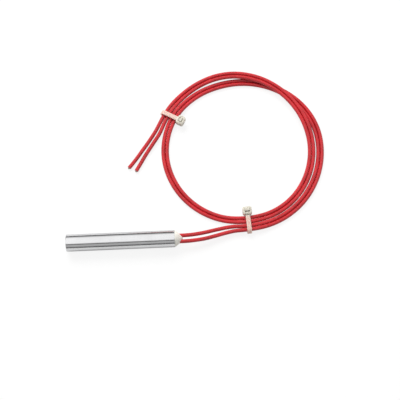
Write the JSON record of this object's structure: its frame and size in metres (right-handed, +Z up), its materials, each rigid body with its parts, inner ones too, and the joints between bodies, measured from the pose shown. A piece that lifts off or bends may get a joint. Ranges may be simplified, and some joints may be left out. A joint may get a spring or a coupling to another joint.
{
  "type": "cartridge heater",
  "caption": "Straight cartridge heater: a round polished steel sheath with a potted end and red lead wires in a tied coil, for heating a die or mould from a drilled hole.",
  "frame": {"origin": "on the resting surface, under the middle of the cartridge (sheath and seal, without the leads)", "axes": "+X along the cartridge from its closed end to its lead end, +Z up, the coil of leads towards +Y"},
  "size_m": [0.1475, 0.1058, 0.0095],
  "materials": {
    "sheath_steel": "ground and polished stainless steel",
    "plug_steel": "faced stainless steel",
    "mica": "matte mica board",
    "ceramic": "matte pressed ceramic",
    "resistance_wire": "oxidised resistance wire",
    "magnesia": "packed powder",
    "nickel": "plain nickel",
    "conductor": "stranded plated copper",
    "potting": "matte off-white potting",
    "lead_red": "satin silicone varnish over braid",
    "nylon": "natural moulded nylon"
  },
  "bodies": {
    "root": {"sheath": "sheath_steel", "end_plug": "plug_steel", "end_disc": "mica", "ceramic_core": "ceramic", "heating_coil": "resistance_wire", "magnesia_fill": "magnesia", "long_pin": "nickel", "short_pin": "nickel", "ceramic_bush": "ceramic", "crimp_1": "nickel", "crimp_2": "nickel", "conductor_1": "conductor", "conductor_2": "conductor", "end_seal": "potting", "lead_1_run": "lead_red", "lead_2_run": "lead_red", "lead_coil": "lead_red", "lead_1_tail": "lead_red", "lead_2_tail": "lead_red", "wire_end_1": "conductor", "wire_end_2": "conductor", "lower_tie": "nylon", "left_tie": "nylon"}
  },
  "joints": []
}
